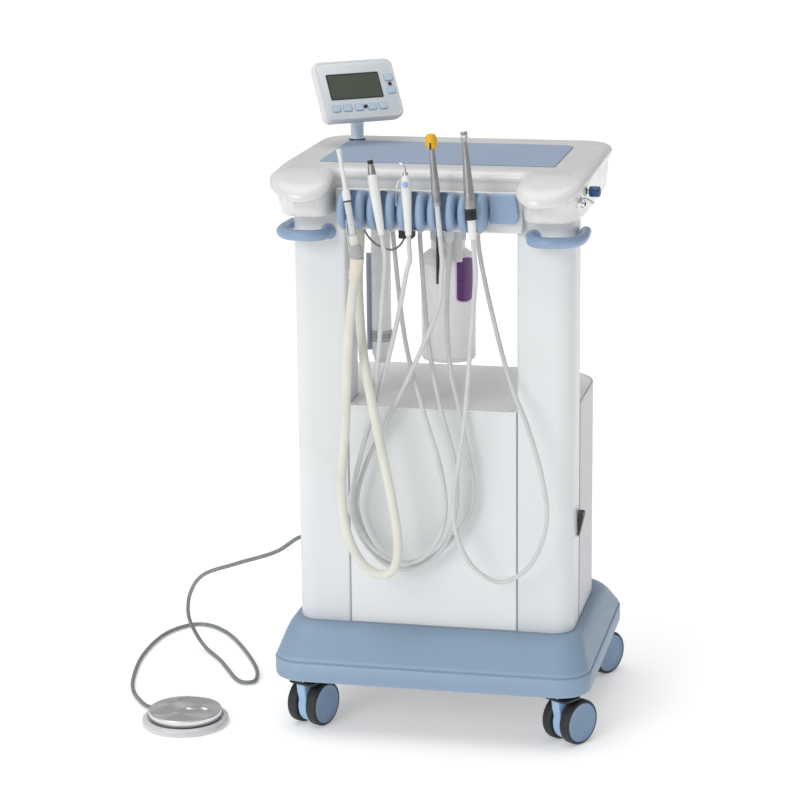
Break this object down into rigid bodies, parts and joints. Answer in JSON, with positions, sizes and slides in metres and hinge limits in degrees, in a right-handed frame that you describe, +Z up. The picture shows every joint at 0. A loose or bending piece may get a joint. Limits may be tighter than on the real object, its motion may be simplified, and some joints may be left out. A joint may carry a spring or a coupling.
{
  "type": "mobile dental treatment unit",
  "caption": "Wheeled dental cart with a moulded worktop, forks holding handpieces on looped hoses, a swivelling control display, a closed cabinet, castors and a foot control.",
  "frame": {"origin": "The middle of the bounding box of everything but the hoses, at floor level: the cart stands a little to the +X side of it and the foot control to the -X side.", "axes": "+X to the right of a person standing at the front, +Y to the back of the cart, +Z up."},
  "size_m": [0.8511, 0.5449, 1.068],
  "materials": {
    "white_shell": "satin white paint",
    "tray_white": "smooth moulded shell",
    "steel_blue": "satin blue moulding",
    "mat_blue": "soft matt inlay",
    "grey_metal": "grey sheet metal",
    "tyre_black": "black tread",
    "display_white": "satin moulding",
    "lcd_olive": "dark olive screen window",
    "key_blue": "pale blue keys",
    "hand_white": "white handpiece shell",
    "hand_steel": "satin steel",
    "ring_black": "black motor ring",
    "chrome": "bright plated",
    "button_blue": "light blue button",
    "hose_cream": "cream silicone hose",
    "hose_grey": "light grey silicone hose",
    "hose_dark": "dark grey hose",
    "clear_white": "translucent white plastic",
    "compressor_blue": "painted casting",
    "knob_blue": "dark blue knob",
    "switch_black": "black moulding"
  },
  "bodies": {
    "cart": {"base_cover": "steel_blue", "base_frame": "grey_metal", "left_column": "white_shell", "right_column": "white_shell", "front_panel": "white_shell", "cabinet_shelf": "grey_metal", "rear_housing": "white_shell", "compressor": "compressor_blue", "worktop": "tray_white", "worktop_mat": "mat_blue", "holder_bar": "tray_white", "holder_1": "steel_blue", "holder_2": "steel_blue", "holder_3": "steel_blue", "holder_4": "steel_blue", "holder_5": "steel_blue", "holder_blank": "steel_blue", "left_handle": "steel_blue", "right_handle": "steel_blue", "display_post": "steel_blue", "water_bottle": "clear_white", "suction_canister": "clear_white", "foot_base": "clear_white", "hose_suction": "hose_cream", "hose_scaler": "hose_grey", "hose_syringe": "hose_grey", "hose_turbine": "hose_grey", "hose_motor": "hose_grey", "hose_foot": "hose_dark"},
    "display": {"display_housing": "display_white", "lcd_window": "lcd_olive"},
    "key_1": {"key_1": "key_blue"},
    "key_2": {"key_2": "key_blue"},
    "key_3": {"key_3": "key_blue"},
    "key_4": {"key_4": "key_blue"},
    "key_5": {"key_5": "key_blue"},
    "key_up": {"key_up": "key_blue"},
    "key_down": {"key_down": "key_blue"},
    "castor_front_left": {"castor_fork_front_left": "steel_blue"},
    "wheels_front_left": {"wheelset_front_left": "tyre_black"},
    "castor_front_right": {"castor_fork_front_right": "steel_blue"},
    "wheels_front_right": {"wheelset_front_right": "tyre_black"},
    "castor_rear_left": {"castor_fork_rear_left": "steel_blue"},
    "wheels_rear_left": {"wheelset_rear_left": "tyre_black"},
    "brake_rear_left": {"brake_lever_rear_left": "switch_black"},
    "castor_rear_right": {"castor_fork_rear_right": "steel_blue"},
    "wheels_rear_right": {"wheelset_rear_right": "tyre_black"},
    "brake_rear_right": {"brake_lever_rear_right": "switch_black"},
    "suction": {"suction_handle": "hand_white", "suction_tip": "hand_white"},
    "scaler": {"scaler_body": "hand_white"},
    "syringe": {"syringe_body": "hand_white", "syringe_nozzle": "chrome"},
    "turbine": {"turbine_handpiece": "hand_steel"},
    "motor": {"motor_handpiece": "ring_black", "contra_angle": "hand_steel"},
    "syringe_button": {"syringe_button": "button_blue"},
    "foot_disc": {"foot_disc": "hand_steel"},
    "mains_switch": {"mains_switch": "switch_black"},
    "side_valve_knob": {"side_valve_knob": "knob_blue"}
  },
  "joints": [
    {"name": "display_swivel", "type": "hinge", "parent": "cart", "child": "display", "pos_m": [-0.0682, 0.1312, 1.0073], "axis": [0, 0, 1], "range_deg": [-75, 75]},
    {"name": "key_1_press", "type": "slide", "parent": "display", "child": "key_1", "axis": [-0.4873, 0.6707, -0.5592], "range_m": [0, 0.0005], "stiffness_N_per_m": 500},
    {"name": "key_2_press", "type": "slide", "parent": "display", "child": "key_2", "axis": [-0.4873, 0.6707, -0.5592], "range_m": [0, 0.0005], "stiffness_N_per_m": 500},
    {"name": "key_3_press", "type": "slide", "parent": "display", "child": "key_3", "axis": [-0.4873, 0.6707, -0.5592], "range_m": [0, 0.0005], "stiffness_N_per_m": 500},
    {"name": "key_4_press", "type": "slide", "parent": "display", "child": "key_4", "axis": [-0.4873, 0.6707, -0.5592], "range_m": [0, 0.0005], "stiffness_N_per_m": 500},
    {"name": "key_5_press", "type": "slide", "parent": "display", "child": "key_5", "axis": [-0.4873, 0.6707, -0.5592], "range_m": [0, 0.0005], "stiffness_N_per_m": 500},
    {"name": "key_up_press", "type": "slide", "parent": "display", "child": "key_up", "axis": [-0.4873, 0.6707, -0.5592], "range_m": [0, 0.0005], "stiffness_N_per_m": 500},
    {"name": "key_down_press", "type": "slide", "parent": "display", "child": "key_down", "axis": [-0.4873, 0.6707, -0.5592], "range_m": [0, 0.0005], "stiffness_N_per_m": 500},
    {"name": "castor_swivel_front_left", "type": "hinge", "parent": "cart", "child": "castor_front_left", "pos_m": [-0.1022, -0.1518, 0.096], "axis": [0, 0, 1], "continuous": true},
    {"name": "wheel_spin_front_left", "type": "hinge", "parent": "castor_front_left", "child": "wheels_front_left", "pos_m": [-0.09471, -0.13326, 0.0375], "axis": [0.9272, -0.3746, 0], "continuous": true},
    {"name": "castor_swivel_front_right", "type": "hinge", "parent": "cart", "child": "castor_front_right", "pos_m": [0.3238, -0.1518, 0.096], "axis": [0, 0, 1], "continuous": true},
    {"name": "wheel_spin_front_right", "type": "hinge", "parent": "castor_front_right", "child": "wheels_front_right", "pos_m": [0.33469, -0.13503, 0.0375], "axis": [0.8387, -0.5446, 0], "continuous": true},
    {"name": "castor_swivel_rear_left", "type": "hinge", "parent": "cart", "child": "castor_rear_left", "pos_m": [-0.1022, 0.1842, 0.096], "axis": [0, 0, 1], "continuous": true},
    {"name": "wheel_spin_rear_left", "type": "hinge", "parent": "castor_rear_left", "child": "wheels_rear_left", "pos_m": [-0.09536, 0.20299, 0.0375], "axis": [0.9397, -0.342, 0], "continuous": true},
    {"name": "brake_press_rear_left", "type": "hinge", "parent": "castor_rear_left", "child": "brake_rear_left", "pos_m": [-0.09023, 0.21709, 0.077], "axis": [0.9397, -0.342, 0], "range_deg": [-14, 0]},
    {"name": "castor_swivel_rear_right", "type": "hinge", "parent": "cart", "child": "castor_rear_right", "pos_m": [0.3238, 0.1842, 0.096], "axis": [0, 0, 1], "continuous": true},
    {"name": "wheel_spin_rear_right", "type": "hinge", "parent": "castor_rear_right", "child": "wheels_rear_right", "pos_m": [0.3344, 0.20116, 0.0375], "axis": [0.848, -0.5299, 0], "continuous": true},
    {"name": "brake_press_rear_right", "type": "hinge", "parent": "castor_rear_right", "child": "brake_rear_right", "pos_m": [0.34235, 0.21388, 0.077], "axis": [0.848, -0.5299, 0], "range_deg": [-14, 0]},
    {"name": "suction_lift_out", "type": "slide", "parent": "cart", "child": "suction", "axis": [-0.173, 0.0858, 0.9812], "range_m": [0, 0.12]},
    {"name": "scaler_lift_out", "type": "slide", "parent": "cart", "child": "scaler", "axis": [-0.1627, 0.086, 0.9829], "range_m": [0, 0.12]},
    {"name": "syringe_lift_out", "type": "slide", "parent": "cart", "child": "syringe", "axis": [-0.0608, 0.087, 0.9944], "range_m": [0, 0.12]},
    {"name": "turbine_lift_out", "type": "slide", "parent": "cart", "child": "turbine", "axis": [-0.1041, 0.0867, 0.9908], "range_m": [0, 0.12]},
    {"name": "motor_lift_out", "type": "slide", "parent": "cart", "child": "motor", "axis": [-0.0989, 0.0867, 0.9913], "range_m": [0, 0.12]},
    {"name": "syringe_button_press", "type": "slide", "parent": "syringe", "child": "syringe_button", "axis": [0, 0.9962, -0.0872], "range_m": [0, 0.0012], "stiffness_N_per_m": 400},
    {"name": "foot_disc_press", "type": "slide", "parent": "cart", "child": "foot_disc", "axis": [0, 0, -1], "range_m": [0, 0.003], "stiffness_N_per_m": 4000, "springref_m": -0.003},
    {"name": "mains_switch_rock", "type": "hinge", "parent": "cart", "child": "mains_switch", "pos_m": [0.343, -0.0928, 0.3575], "axis": [0, 1, 0], "range_deg": [-6, 6]},
    {"name": "side_valve_turn", "type": "hinge", "parent": "cart", "child": "side_valve_knob", "pos_m": [0.3548, -0.1298, 0.905], "axis": [1, 0, 0], "range_deg": [-120, 120]}
  ]
}
